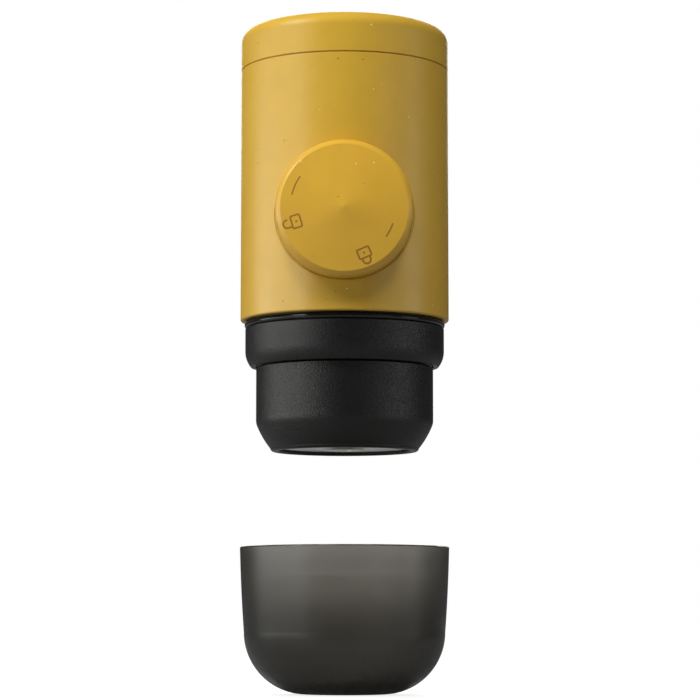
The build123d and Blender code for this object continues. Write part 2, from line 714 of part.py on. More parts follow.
# Brew head: the shell that screws into the group head. The filter basket hangs on its neck, and the
# coffee runs down its funnel to the spout in the middle of the steel plate.
funnel_rim_z = lip_z + 18.4
funnel_floor_z = lip_z + 13.5
spout_tube = 5.6
spout_bore = 4.0
lip_radius = 19.0
plate_seat_z = lip_z + 2.0
taper_foot, taper_top = 21.35, 25.13
taper_z = lip_z + 8.9            # where the straight wall bends into the taper
bend_z = lip_z + 7.3
shell_core = 22.8                # inside of the hollow between the shell and the funnel

with BuildPart() as head_shell:
    with BuildSketch(Plane.XZ):
        with BuildLine():
            bend = TangentArc((head_radius, taper_z), (taper_top, bend_z), tangent=(0, -1))
            TangentArc(bend @ 1, (taper_foot, lip_z + 0.9), tangent=bend % 1)
            Polyline(
                (head_radius, taper_z),
                (head_radius, shoulder_z - 0.3),
                (head_radius - 0.3, shoulder_z),
                (neck_radius, shoulder_z),
                (neck_radius, neck_top - 0.4),
                (neck_radius - 0.4, neck_top),
                (neck_bore, neck_top),
                (neck_bore, funnel_rim_z),
                (spout_bore, funnel_floor_z),
                (spout_bore, plate_seat_z),
                (spout_tube, plate_seat_z),
                (spout_tube, lip_z + 11.2),
                (shell_core, lip_z + 15.2),
                (shell_core, lip_z + 10.6),
                (17.2, plate_seat_z),
                (lip_radius, plate_seat_z),
                (lip_radius, lip_z + 0.4),
                (lip_radius + 0.4, lip_z),
            )
            Line((lip_radius + 0.4, lip_z), (20.4, lip_z))
            ThreePointArc((20.4, lip_z), (21.03, lip_z + 0.28), (taper_foot, lip_z + 0.9))
        make_face()
    revolve(axis=Axis.Z)

oring_cord = 0.6

with BuildPart() as head_oring:
    with BuildSketch(Plane.XZ):
        with Locations((24.65, shoulder_z + oring_cord)):
            Circle(oring_cord)
    revolve(axis=Axis.Z)

# Outlet plate and spout: the steel disc in the head's mouth, held by the spout's flange
disc_radius = 18.6
nozzle_radius = 3.9

with BuildPart() as outlet_plate:
    revolve(outline(Plane.XZ, (spout_bore + 0.1, lip_z + 1), (disc_radius - 0.5, lip_z + 1),
                    (disc_radius, lip_z + 1.5), (disc_radius, plate_seat_z),
                    (spout_bore + 0.1, plate_seat_z)), axis=Axis.Z)

with BuildPart() as spout_nozzle:
    revolve(outline(Plane.XZ, (2.4, lip_z + 0.3), (5.4, lip_z + 0.3), (6.0, lip_z + 1), (nozzle_radius, lip_z + 1),
                    (nozzle_radius, funnel_floor_z - 0.3), (2.8, funnel_floor_z - 0.3),
                    (2.0, lip_z + 2.0)), axis=Axis.Z)

# Filter basket: pressed steel, with a rolled rim and a perforated floor
basket_radius = 21.2
basket_floor_radius = 20.2
basket_floor_z = lip_z + 19.0
rim_radius = 23.2

with BuildPart() as filter_basket:
    revolve(outline(Plane.XZ, (0, basket_floor_z), (basket_floor_radius - 1.2, basket_floor_z),
                    (basket_floor_radius, basket_floor_z + 1.2), (basket_radius, neck_top),
                    (rim_radius, neck_top), (rim_radius, neck_top + 0.8),
                    (basket_radius - sheet, neck_top + 0.8),
                    (basket_floor_radius - sheet, basket_floor_z + 1.4),
                    (basket_floor_radius - 1.4, basket_floor_z + sheet), (0, basket_floor_z + sheet)),
            axis=Axis.Z)
    with BuildSketch(Plane.XY.offset(basket_floor_z)):
        add(perforate(hole_rings, hole_pitch, hole_radius))
    extrude(amount=sheet, mode=Mode.SUBTRACT)

# Cup: a smoked bowl with a small flat foot and steep upper walls. Turned over the head as a cap, its
# rim closes flush under the sleeve.
rim_wall = 1.0
foot_wall = 1.2
cup_belly = cup_foot_radius + cup_curve
cup_rim_radius = body_radius - 0.1
inner_curve = cup_curve - foot_wall
bore_z = 33.4
cup_bore = cup_rim_radius - rim_wall

with BuildPart() as cup:
    with BuildSketch(Plane.XZ):
        with BuildLine():
            Line((0, 0), (cup_foot_radius, 0))
            RadiusArc((cup_foot_radius, 0), (cup_belly, cup_curve), -cup_curve)
            ThreePointArc((cup_belly, cup_curve), (29.45, 29.5), (cup_rim_radius, cup_height - 0.4))
            ThreePointArc((cup_rim_radius, cup_height - 0.4), (29.4, cup_height), (cup_bore, cup_height - 0.4))
            Line((cup_bore, cup_height - 0.4), (cup_bore, bore_z))
            ThreePointArc((cup_bore, bore_z), (28.35, 25.5), (cup_belly - foot_wall, cup_curve))
            RadiusArc((cup_belly - foot_wall, cup_curve), (cup_foot_radius, foot_wall), inner_curve)
            Polyline((cup_foot_radius, foot_wall), (0, foot_wall), (0, 0))
        make_face()
    revolve(axis=Axis.Z)

pieces = {
    "grip_sleeve": grip_sleeve,
    "group_head": group_head,
    "cup_grip_ring": cup_grip_ring,
    "group_gasket": group_gasket,
    "shower_screen": shower_screen,
    "screen_screw": screen_screw,
    "pump_housing": pump_housing,
    "housing_screws": housing_screws,
    "tank_deck": tank_deck,
    "deck_screws": deck_screws,
    "vent_valve": vent_valve,
    "intake_strainer": intake_strainer,
    "inlet_pipe": inlet_pipe,
    "outlet_pipe": outlet_pipe,
    "valve_block": valve_block,
    "inlet_valve": inlet_valve,
    "outlet_valve": outlet_valve,
    "valve_cover": valve_cover,
    "cover_screws": cover_screws,
    "block_screws": block_screws,
    "pump_cylinder": pump_cylinder,
    "cylinder_seal": cylinder_seal,
    "rod_bush": rod_bush,
    "piston_carrier": piston_carrier,
    "piston_rod": piston_rod,
    "rod_pin": rod_pin,
    "piston_seal": piston_seal,
    "return_spring": return_spring,
    "knob_cap": knob_cap,
    "tank_gasket": tank_gasket,
    "tank_vessel": tank_vessel,
    "tank_cap": tank_cap,
    "head_oring": head_oring,
    "head_shell": head_shell,
    "outlet_plate": outlet_plate,
    "spout_nozzle": spout_nozzle,
    "filter_basket": filter_basket,
    "cup": cup,
}

os.makedirs("parts", exist_ok=True)
for label, piece in pieces.items():
    piece.part.label = label
    export_step(piece.part, f"parts/{label}.step")
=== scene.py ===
"""Finishes, small parts and studio for a handheld espresso maker with a spring-return pump.

Lengths are in metres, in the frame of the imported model: +Z is up, the pump knob faces -Y, and the
origin is the centre of the cup's foot.
"""

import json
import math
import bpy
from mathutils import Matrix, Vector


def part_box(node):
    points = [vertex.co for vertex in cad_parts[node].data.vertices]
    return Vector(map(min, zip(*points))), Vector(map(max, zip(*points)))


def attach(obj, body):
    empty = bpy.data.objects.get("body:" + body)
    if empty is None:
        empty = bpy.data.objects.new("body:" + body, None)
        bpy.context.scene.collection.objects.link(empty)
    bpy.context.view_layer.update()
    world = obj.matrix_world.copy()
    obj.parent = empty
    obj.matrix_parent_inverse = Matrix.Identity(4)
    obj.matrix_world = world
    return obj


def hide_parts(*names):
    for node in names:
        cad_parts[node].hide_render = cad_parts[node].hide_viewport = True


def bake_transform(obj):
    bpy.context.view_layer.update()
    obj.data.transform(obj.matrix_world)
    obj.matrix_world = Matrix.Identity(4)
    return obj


bl_info = {
    "name": "Pump Espresso Maker",
    "version": (1, 0, 0),
    "blender": (4, 5, 0),
    "location": "3D View > Sidebar > Espresso Maker",
    "description": "Finishes, small parts and studio for a handheld pump espresso maker",
    "category": "Object",
}

import bmesh
import bpy
from bpy.props import FloatProperty, FloatVectorProperty, IntProperty, PointerProperty
from bpy.types import Operator, Panel, PropertyGroup
from mathutils import Matrix, Vector

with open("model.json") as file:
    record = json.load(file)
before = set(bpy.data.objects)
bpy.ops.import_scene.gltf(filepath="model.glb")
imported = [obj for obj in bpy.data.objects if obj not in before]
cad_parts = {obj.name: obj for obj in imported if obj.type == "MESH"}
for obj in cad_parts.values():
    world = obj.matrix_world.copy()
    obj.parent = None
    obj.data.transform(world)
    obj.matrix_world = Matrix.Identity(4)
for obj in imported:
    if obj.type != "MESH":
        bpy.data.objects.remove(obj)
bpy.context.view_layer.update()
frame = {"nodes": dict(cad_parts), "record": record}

MM = 0.001
PUMP_Z = 134.4 * MM
PUMP_AXIS, PUMP_CENTRE = (0.0, 1.0, 0.0), (0.0, 0.0, PUMP_Z)
UPRIGHT_AXIS, UPRIGHT_CENTRE = (0.0, 0.0, 1.0), (0.0, 0.0, 0.0)
SLEEVE_RADIUS = 30.0 * MM

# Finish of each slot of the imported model, and of the nodes that differ from their slot's finish
FINISH_BY_SLOT = {
    "mustard_coat": "mustard_coat", "black_grained": "black_grained", "black_frame": "black_frame",
    "smoke_clear": "smoke_clear", "stainless": "stainless", "natural_acetal": "pump_acetal",
    "black_silicone": "black_silicone", "grey_silicone": "grey_silicone", "zinc_screw": "screw_steel",
}
# The knob's finish is a lighter, more orange copy of the mustard coat: painted light on the knob's face
FINISH_BY_NODE = {
    "cup": "smoke_satin", "knob_cap": "knob_coat", "inlet_pipe": "upright_acetal",
    "outlet_pipe": "upright_acetal", "rod_pin": "spring_steel", "return_spring": "spring_steel",
}

# Knob's face: a small flat tip, then a cone that falls back over its width
KNOB_TIP_Y, KNOB_TIP_RADIUS = -38.0 * MM, 0.3 * MM
CONE_DEPTH, CONE_WIDTH = 2.4, 17.45

# Signs on the knob, as angles seen from the front, anticlockwise from the right
OPEN_SIGN, CLOSED_SIGN = 197, 293
UPPER_DASH, LOWER_DASH = (145, 167), (324, 341)
PRINT_LIFT = 0.02 * MM

# Lips round the knob's opening and in the cap's seam
LIP_STEPS = 144
LIP_INNER, LIP_OUTER = 19.28 * MM, 19.52 * MM
LIP_BEVEL, LIP_DEPTH = 0.04 * MM, 0.8 * MM
CAP_LIP_PROFILE = ((28.4, -0.24), (29.45, -0.24), (29.6, -0.12), (29.6, 0.02), (28.4, 0.02))

# Threads: root below the wall, steps in one turn, and the share of the length that fades in and out
THREAD_ROOT, THREAD_STEPS, THREAD_FADE = 0.15 * MM, 96, 0.12

# Return spring: steps in one coil, sides of its wire and radius
COIL_STEPS, WIRE_SIDES, SPRING_RADIUS = 48, 12, 11.0 * MM
# Closed end coils: share of the full pitch, how many coils, and how many more until the pitch is full
CLOSED_PITCH, CLOSED_COILS, OPENING_COILS = 0.22, 0.7, 0.6

# Screws: their places in mm, the way their heads face, and head radius, head height and shank in mm
SCREWS = {
    "housing_screws": (
        [(x, y, 114.0) for x in (-20, 20) for y in (-14, 14)], UPRIGHT_AXIS, 2.0, 1.4, 6.0),
    "deck_screws": (
        [(x, y, 157.5) for x in (-17, 17) for y in (-12, 12)], UPRIGHT_AXIS, 2.0, 1.4, 7.9),
    "cover_screws": (
        [(x, 24.9, 134.4 + z) for x in (-5.9, 5.9) for z in (-7.2, 7.2)], PUMP_AXIS, 1.7, 1.0, 5.9),
    "block_screws": (
        [(x, 18.5, 134.4) for x in (-12.5, 12.5)], PUMP_AXIS, 2.0, 1.4, 9.4),
}
SCREW_SIDES, CROSS_CORNERS = 24, 12
# Screw thread: crest and root radius, pitch, and height of one flank
SCREW_CREST, SCREW_ROOT, SCREW_PITCH, SCREW_FLANK = 0.98 * MM, 0.78 * MM, 0.45 * MM, 0.22 * MM
# Cross: arm's reach and half width as shares of the head's radius, and the share of both at its floor
CROSS_REACH, CROSS_HALF_WIDTH, CROSS_FLOOR = 0.56, 0.13, 0.72

# Tank's level lines: millilitres and height in mm
LEVELS = ((30, 173.7), (40, 169.1), (50, 164.5))
# Outside of the tank, how far the print stands out and reaches in, and half a line's width in mm
TANK_RADIUS, LEVEL_LIFT, LEVEL_HALF_WIDTH = 27.8 * MM, 0.08 * MM, 0.15
# Type size of a number, its gap from the line's end, and the height of its foot above the line
NUMBER_SIZE, NUMBER_GAP, NUMBER_DROP = 2.6 * MM, 0.8 * MM, 0.95 * MM
LEVEL_STEPS, FRONT = 12, math.radians(-90)

# Softboxes: width, height, azimuth, elevation, and whether glossy surfaces mirror them
SOFTBOXES = {
    "left": (0.80, 0.26, -88, 5, True),
    "front_left": (0.35, 0.26, -52, 5, True),
    "upper_left": (0.26, 0.26, -60, 40, True),
    "overhead_left": (0.26, 0.26, -30, 56, False),
    "overhead_right": (0.26, 0.26, 30, 56, False),
    "front_right": (0.35, 0.26, 47, 5, True),
    "right": (0.40, 0.26, 79, 5, True),
    "rear": (0.6, 0.5, 180, 25, True),
}
LAMP_COLOUR, LAMP_TARGET = (0.985, 1.0, 0.96), (0.0, 0.0, 0.11)

# Share of the white backdrop's level that reflections see
MIRRORED_SHARE = 0.03
# Floor: its rings, its colour, and the levels that it is seen at near the maker and far from it
FLOOR_SIDES, FLOOR_RADII, FLOOR_COLOUR = 72, (0.02, 0.2, 1.0, 6.0), (0.28, 0.28, 0.28)
FLOOR_REACH, FLOOR_LEVELS = (0.05, 0.4), (0.80, 1.0)


# --- Settings -------------------------------------------------------------------------------------


def colour(label, about, value):
    """Linear colour setting."""
    return FloatVectorProperty(name=label, description=about, subtype="COLOR", size=3, min=0, max=1,
                               default=value)


def length(label, about, value):
    """Length setting in metres."""
    return FloatProperty(name=label, description=about, unit="LENGTH", default=value, min=0, precision=5)


def power(label, value):
    """Power setting of a lamp in watts."""
    return FloatProperty(name=label, description="Power of the lamp", unit="POWER", default=value, min=0)


class FinishSettings(PropertyGroup):
    """Colours and grain of the maker's finishes."""

    mustard: colour("Mustard coat", "Soft-touch coat of the sleeve and the cap", (0.578, 0.345, 0.035))
    # Painted light: the knob's coat is a lighter copy of the mustard coat, standing in for the extra light on
    # the knob's face
    knob_mustard: colour("Knob coat", "The same coat on the knob, a shade lighter", (0.645, 0.366, 0.037))
    pale_speck: colour("Pale speck", "Light specks in the mustard coat", (0.86, 0.72, 0.36))
    dark_speck: colour("Dark speck", "Brown specks in the mustard coat", (0.26, 0.13, 0.02))
    knob_mark: colour("Knob mark", "Signs and dashes on the knob", (0.30, 0.135, 0.016))
    speck_size: length("Speck size", "Radius of the largest speck", 0.00032)
    speck_spacing: length("Speck spacing", "Edge of the space that holds one possible speck", 0.0025)
    grained_black: colour("Grained black", "Group head and brew head", (0.0034, 0.0035, 0.0036))
    grain_size: length("Grain size", "Width of one grain on the black mouldings", 0.00045)
    frame_black: colour("Frame black", "Inner mouldings", (0.022, 0.022, 0.024))
    smoke: colour("Smoke", "Tint of the clear smoked pieces", (0.12, 0.09, 0.035))
    smoke_density: FloatProperty(
        name="Smoke density", description="Darkening per metre of smoked wall", default=1800.0, min=0)
    steel: colour("Steel", "Pressed and turned stainless steel", (0.62, 0.62, 0.61))
    acetal: colour("Acetal", "Natural white pump pieces", (0.78, 0.77, 0.73))
    black_rubber: colour("Black silicone", "Black seals", (0.004, 0.0042, 0.0042))
    grey_rubber: colour("Grey silicone", "Food-grade seals and valves", (0.40, 0.40, 0.39))


class SmallPartSettings(PropertyGroup):
    """Sizes of the fine pieces."""

    mark_radius: length("Mark ring", "Radius of the ring of signs on the knob", 14.9 * MM)
    mark_stroke: length("Mark stroke", "Width of the lines of the knob's signs", 0.48 * MM)
    lip_recess: length("Lip recess", "Depth of the opening's lip below the face of the sleeve", 0.22 * MM)
    head_lead: length("Brew head lead", "Rise of the brew head's thread in one turn", 9.0 * MM)
    tank_lead: length("Tank lead", "Rise of the tank's thread in one turn", 8.0 * MM)
    thread_starts: IntProperty(
        name="Thread starts", description="Starts of both threads", default=3, min=1, max=6)
    spring_wire: length("Spring wire", "Radius of the return spring's wire", 0.55 * MM)
    spring_coils: IntProperty(
        name="Spring coils", description="Turns of the return spring", default=9, min=4, max=14)
    recess_depth: length("Recess depth", "Depth of the cross in the screw heads", 0.8 * MM)


class StudioSettings(PropertyGroup):
    """Camera and lamps."""

    lens: FloatProperty(name="Lens", description="Focal length", unit="CAMERA", default=135.3, min=20)
    camera_distance: length("Camera distance", "From the maker's axis", 0.754)
    camera_height: length("Camera height", "Above the floor", 0.0215)
    camera_side: FloatProperty(
        name="Camera side", description="To the right of the maker's axis", unit="LENGTH",
        default=1.55 * MM, precision=5)
    camera_pitch: FloatProperty(
        name="Camera pitch", description="Upward tilt", subtype="ANGLE", default=math.radians(5.82))
    left_power: power("Left softbox", 3.1)
    front_left_power: power("Front left softbox", 1.5)
    upper_left_power: power("Upper left softbox", 3.7)
    overhead_left_power: power("Overhead left softbox", 5.1)
    overhead_right_power: power("Overhead right softbox", 3.6)
    front_right_power: power("Front right softbox", 0.45)
    right_power: power("Right softbox", 0.9)
    rear_power: power("Rear softbox", 3.6)
    ambient: FloatProperty(
        name="Ambient", description="Level of the room's soft light", default=0.04, min=0, max=1)


# --- Node groups ----------------------------------------------------------------------------------


def start_group(name, inputs, outputs):
    """Begin a shader node group with named sockets. Returns its tree, its inputs and its outputs."""
    tree = bpy.data.node_groups.new(name, "ShaderNodeTree")
    for label, kind, value in inputs:
        tree.interface.new_socket(name=label, in_out="INPUT", socket_type=kind).default_value = value
    for label in outputs:
        tree.interface.new_socket(name=label, in_out="OUTPUT", socket_type="NodeSocketFloat")
    return tree, tree.nodes.new("NodeGroupInput").outputs, tree.nodes.new("NodeGroupOutput").inputs


def put(tree, kind, links=(), **settings):
    """Add a node with its settings. links maps each input to the socket or the value that it takes."""
    node = tree.nodes.new(kind)
    for key, value in settings.items():
        setattr(node, key, value)
    for key, value in dict(links).items():
        if isinstance(value, bpy.types.NodeSocket):
            tree.links.new(value, node.inputs[key])
        else:
            node.inputs[key].default_value = value
    return node


def sum_up(tree, operation, *values):
    """Math node on up to three sockets or numbers. Returns its output."""
    return put(tree, "ShaderNodeMath", enumerate(values), operation=operation).outputs[0]


def vector_sum(tree, operation, links, output=0):
    """Vector math node on its linked or set inputs. Returns one of its outputs."""
    return put(tree, "ShaderNodeVectorMath", links, operation=operation).outputs[output]


def spread(tree, value, low, high, to_low, to_high):
    """Map a value from one range to another, held inside it. Returns the output."""
    links = {"Value": value, "From Min": low, "From Max": high, "To Min": to_low, "To Max": to_high}
    return put(tree, "ShaderNodeMapRange", links).outputs["Result"]


def make_speck_group():
    """Sparse round specks, pale and dark, scattered through the coat."""
    tree, given, result = start_group(
        "Cast Specks",
        [("Spacing", "NodeSocketFloat", 0.0025), ("Size", "NodeSocketFloat", 0.0002),
         ("Share", "NodeSocketFloat", 0.3)],
        ["Pale", "Dark"])
    place = put(tree, "ShaderNodeTexCoord").outputs["Object"]
    cells = put(tree, "ShaderNodeTexVoronoi",
                {"Vector": place, "Scale": sum_up(tree, "DIVIDE", 1.0, given["Spacing"])})
    lot = put(tree, "ShaderNodeSeparateColor", {"Color": cells.outputs["Color"]}).outputs
    radius = sum_up(tree, "DIVIDE", given["Size"], given["Spacing"])
    radius = sum_up(tree, "MULTIPLY", radius, sum_up(tree, "MULTIPLY_ADD", lot["Blue"], 0.6, 0.4))
    core = sum_up(tree, "MULTIPLY", radius, 0.6)
    speck = spread(tree, cells.outputs["Distance"], radius, core, 0.0, 1.0)
    speck = sum_up(tree, "MULTIPLY", speck, sum_up(tree, "LESS_THAN", lot["Red"], given["Share"]))
    pale = sum_up(tree, "MULTIPLY", speck, sum_up(tree, "GREATER_THAN", lot["Green"], 0.3))
    tree.links.new(pale, result["Pale"])
    tree.links.new(sum_up(tree, "SUBTRACT", speck, pale), result["Dark"])


def make_grain_group():
    """Fine even grain of a textured moulding, and a broad mottle for its colour."""
    tree, given, result = start_group(
        "Moulded Grain", [("Size", "NodeSocketFloat", 0.0003)], ["Height", "Mottle"])
    place = put(tree, "ShaderNodeTexCoord").outputs["Object"]
    scale = sum_up(tree, "DIVIDE", 1.0, given["Size"])
    fine = put(tree, "ShaderNodeTexNoise", {"Vector": place, "Scale": scale, "Detail": 2.5, "Roughness": 0.6})
    broad = put(tree, "ShaderNodeTexNoise",
                {"Vector": place, "Scale": sum_up(tree, "DIVIDE", scale, 30.0), "Detail": 3.0})
    tree.links.new(spread(tree, fine.outputs[0], 0.3, 0.7, 0.0, 1.0), result["Height"])
    tree.links.new(spread(tree, broad.outputs[0], 0.3, 0.7, 0.0, 1.0), result["Mottle"])


def make_handling_group():
    """Faint smudges from handling, for roughness."""
    tree, given, result = start_group("Handling", [("Size", "NodeSocketFloat", 0.012)], ["Smudge"])
    place = put(tree, "ShaderNodeTexCoord").outputs["Object"]
    smudge = put(tree, "ShaderNodeTexNoise",
                 {"Vector": place, "Scale": sum_up(tree, "DIVIDE", 1.0, given["Size"]), "Detail": 4.0,
                  "Roughness": 0.65, "Distortion": 0.6})
    tree.links.new(spread(tree, smudge.outputs[0], 0.35, 0.65, 0.0, 1.0), result["Smudge"])


def make_turned_group():
    """Fine rings left by turning or polishing about an axis."""
    tree, given, result = start_group(
        "Turned Marks",
        [("Axis", "NodeSocketVector", UPRIGHT_AXIS), ("Centre", "NodeSocketVector", UPRIGHT_CENTRE),
         ("Width", "NodeSocketFloat", 0.0002)],
        ["Height", "Streak"])
    place = put(tree, "ShaderNodeTexCoord").outputs["Object"]
    arm = vector_sum(tree, "SUBTRACT", enumerate((place, given["Centre"])))
    along = vector_sum(tree, "DOT_PRODUCT", enumerate((arm, given["Axis"])), "Value")
    run = vector_sum(tree, "SCALE", {0: given["Axis"], "Scale": along})
    out = vector_sum(tree, "SUBTRACT", enumerate((arm, run)))
    radius = vector_sum(tree, "LENGTH", {0: out}, "Value")
    rings = put(tree, "ShaderNodeCombineXYZ", {"X": radius, "Y": along}).outputs[0]
    scale = sum_up(tree, "DIVIDE", 1.0, given["Width"])
    fine = put(tree, "ShaderNodeTexNoise", {"Vector": rings, "Scale": scale, "Detail": 2.0},
               noise_dimensions="2D")
    wide = put(tree, "ShaderNodeTexNoise", {"Vector": rings, "Scale": sum_up(tree, "DIVIDE", scale, 7.0)},
               noise_dimensions="2D")
    tree.links.new(fine.outputs[0], result["Height"])
    tree.links.new(spread(tree, wide.outputs[0], 0.3, 0.7, 0.0, 1.0), result["Streak"])


# --- Finishes -------------------------------------------------------------------------------------


def start_finish(name, base, **plain):
    """New material with a Principled shader: base colour and plain values on its own sockets."""
    material = bpy.data.materials.new(name)
    material.use_nodes = True
    material.diffuse_color = (*base, 1.0)
    shader = material.node_tree.nodes["Principled BSDF"]
    shader.inputs["Base Color"].default_value = (*base, 1.0)
    for label, value in plain.items():
        shader.inputs[label.replace("_", " ")].default_value = value
    return material.node_tree, shader.inputs


def effect(tree, name, **values):
    """Place a node group in a material with the material's own values. Returns its outputs."""
    node = put(tree, "ShaderNodeGroup", node_tree=bpy.data.node_groups[name])
    for label, value in values.items():
        node.inputs[label].default_value = value
    return node.outputs


def tint(tree, mask, first, second):
    """Mix two colours, each a plain colour or a socket, by a mask. Returns the output."""
    node = put(tree, "ShaderNodeMix", data_type="RGBA")
    tree.links.new(mask, node.inputs[0])
    for slot, value in ((6, first), (7, second)):
        if isinstance(value, bpy.types.NodeSocket):
            tree.links.new(value, node.inputs[slot])
        else:
            node.inputs[slot].default_value = (*value, 1.0)
    return node.outputs[2]


def emboss(tree, shader, height, distance, strength):
    """Bump a surface by a height, at most the distance in metres."""
    bump = put(tree, "ShaderNodeBump", {"Height": height, "Distance": distance, "Strength": strength})
    tree.links.new(bump.outputs[0], shader["Normal"])


def scaled(base, factor):
    """Colour times a number."""
    return tuple(min(1.0, part * factor) for part in base)


def shade(tree, shader, mask, base, low, high):
    """Vary the base colour between two brightnesses by a mask."""
    tree.links.new(tint(tree, mask, scaled(base, low), scaled(base, high)), shader["Base Color"])


def vary_roughness(tree, shader, mask, low, high):
    """Vary the roughness between two levels by a mask."""
    tree.links.new(spread(tree, mask, 0.0, 1.0, low, high), shader["Roughness"])


def make_mustard(name, base, settings):
    """Speckled soft-touch coat."""
    tree, shader = start_finish(name, base, Roughness=0.38, Specular_IOR_Level=0.58)
    specks = effect(tree, "Cast Specks", Spacing=settings.speck_spacing, Size=settings.speck_size, Share=0.30)
    dust = effect(tree, "Cast Specks", Spacing=0.0011, Size=0.00009, Share=0.35)
    grain = effect(tree, "Moulded Grain", Size=0.00022)
    coat = tint(tree, grain["Mottle"], scaled(base, 0.975), scaled(base, 1.025))
    coat = tint(tree, sum_up(tree, "MULTIPLY", dust["Dark"], 0.5), coat, settings.dark_speck)
    coat = tint(tree, sum_up(tree, "MULTIPLY", dust["Pale"], 0.5), coat, settings.pale_speck)
    coat = tint(tree, specks["Dark"], coat, settings.dark_speck)
    tree.links.new(tint(tree, specks["Pale"], coat, settings.pale_speck), shader["Base Color"])
    vary_roughness(tree, shader, effect(tree, "Handling", Size=0.014)["Smudge"], 0.36, 0.41)
    emboss(tree, shader, grain["Height"], distance=0.00001, strength=0.5)


def make_knob_mark(settings):
    """Darker print on the knob."""
    tree, shader = start_finish("knob_mark", settings.knob_mark, Roughness=0.55)
    grain = effect(tree, "Moulded Grain", Size=0.0002)
    shade(tree, shader, grain["Height"], settings.knob_mark, 0.88, 1.12)
    emboss(tree, shader, grain["Height"], distance=0.00001, strength=0.4)


def make_grained(name, base, settings, roughness, depth):
    """Black moulding with a fine grain."""
    tree, shader = start_finish(name, base, Roughness=roughness, Specular_IOR_Level=0.44)
    grain = effect(tree, "Moulded Grain", Size=settings.grain_size)
    smudge = effect(tree, "Handling", Size=0.010)["Smudge"]
    shade(tree, shader, grain["Height"], base, 0.7, 1.35)
    rough = spread(tree, smudge, 0.0, 1.0, roughness - 0.05, roughness + 0.01)
    tree.links.new(sum_up(tree, "MULTIPLY_ADD", grain["Height"], 0.08, rough), shader["Roughness"])
    emboss(tree, shader, grain["Height"], distance=depth, strength=0.8)


def make_smoke(name, settings, roughness):
    """Smoked clear copolyester, with faint flow lines and polish rings."""
    tree, shader = start_finish(name, (0.92, 0.91, 0.90), Roughness=roughness, IOR=1.55,
                                Transmission_Weight=1.0)
    depth = put(tree, "ShaderNodeVolumeAbsorption",
                {"Color": (*settings.smoke, 1.0), "Density": settings.smoke_density})
    tree.links.new(depth.outputs[0], tree.nodes["Material Output"].inputs["Volume"])
    marks = effect(tree, "Turned Marks", Width=0.0012)
    haze = effect(tree, "Handling", Size=0.02)["Smudge"]
    tree.links.new(tint(tree, marks["Streak"], (0.88, 0.87, 0.86), (0.95, 0.94, 0.93)), shader["Base Color"])
    vary_roughness(tree, shader, haze, roughness - 0.03, roughness + 0.04)
    emboss(tree, shader, marks["Height"], distance=0.00001, strength=0.15)


def make_metal(name, base, axis, centre, width, roughness):
    """Steel with turning or brushing marks about an axis."""
    tree, shader = start_finish(name, base, Roughness=roughness, Metallic=1.0)
    marks = effect(tree, "Turned Marks", Axis=axis, Centre=centre, Width=width)
    smudge = effect(tree, "Handling", Size=0.008)["Smudge"]
    shade(tree, shader, marks["Streak"], base, 0.93, 1.05)
    rough = sum_up(tree, "MULTIPLY_ADD", marks["Height"], 0.12, roughness - 0.08)
    tree.links.new(sum_up(tree, "MULTIPLY_ADD", smudge, 0.05, rough), shader["Roughness"])
    emboss(tree, shader, marks["Height"], distance=0.00002, strength=0.25)


def make_acetal(name, base, axis, centre):
    """Natural white acetal, turned or moulded smooth."""
    tree, shader = start_finish(name, base, Roughness=0.33, Subsurface_Weight=0.15, Subsurface_Scale=0.002)
    marks = effect(tree, "Turned Marks", Axis=axis, Centre=centre, Width=0.0003)
    smudge = effect(tree, "Handling", Size=0.006)["Smudge"]
    shade(tree, shader, marks["Streak"], base, 0.96, 1.02)
    vary_roughness(tree, shader, smudge, 0.30, 0.38)
    emboss(tree, shader, marks["Height"], distance=0.00001, strength=0.2)


def make_silicone(name, base, roughness):
    """Moulded silicone with a fine bloom."""
    tree, shader = start_finish(name, base, Roughness=roughness, Subsurface_Weight=0.1,
                                Subsurface_Scale=0.001)
    grain = effect(tree, "Moulded Grain", Size=0.00025)
    bloom = effect(tree, "Handling", Size=0.005)["Smudge"]
    shade(tree, shader, bloom, base, 0.9, 1.15)
    vary_roughness(tree, shader, grain["Mottle"], roughness - 0.03, roughness + 0.05)
    emboss(tree, shader, grain["Height"], distance=0.000006, strength=0.3)


def make_level_print():
    """Pale print of the tank's level marks."""
    base = (0.62, 0.62, 0.60)
    tree, shader = start_finish("level_print", base, Roughness=0.5)
    grain = effect(tree, "Moulded Grain", Size=0.0002)
    shade(tree, shader, grain["Height"], base, 0.85, 1.08)
    vary_roughness(tree, shader, grain["Mottle"], 0.45, 0.58)


def arrange(tree):
    """Lay the nodes out in columns, from the output back to the first inputs."""
    column = {node: 0 for node in tree.nodes}
    for _ in range(len(tree.nodes)):
        for link in tree.links:
            column[link.from_node] = max(column[link.from_node], column[link.to_node] + 1)
    filled = {}
    for node in tree.nodes:
        row = filled.get(column[node], 0)
        node.location = (-240 * column[node], -190 * row)
        filled[column[node]] = row + 1


# --- Mesh helpers ---------------------------------------------------------------------------------


def add_piece(name, body, slot, finish, points, faces, crease=35):
    """Mesh object with a finish that rides on a body. Edges sharper than the crease angle stay sharp."""
    mesh = bpy.data.meshes.new(name)
    mesh.from_pydata(points, [], faces)
    shape = bmesh.new()
    shape.from_mesh(mesh)
    bmesh.ops.recalc_face_normals(shape, faces=shape.faces)
    shape.to_mesh(mesh)
    shape.free()
    mesh.shade_smooth()
    mesh.set_sharp_from_angle(angle=math.radians(crease))
    mesh.materials.append(bpy.data.materials[finish])
    piece = bpy.data.objects.new(name, mesh)
    bpy.context.scene.collection.objects.link(piece)
    if body:
        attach(piece, body)
    return piece


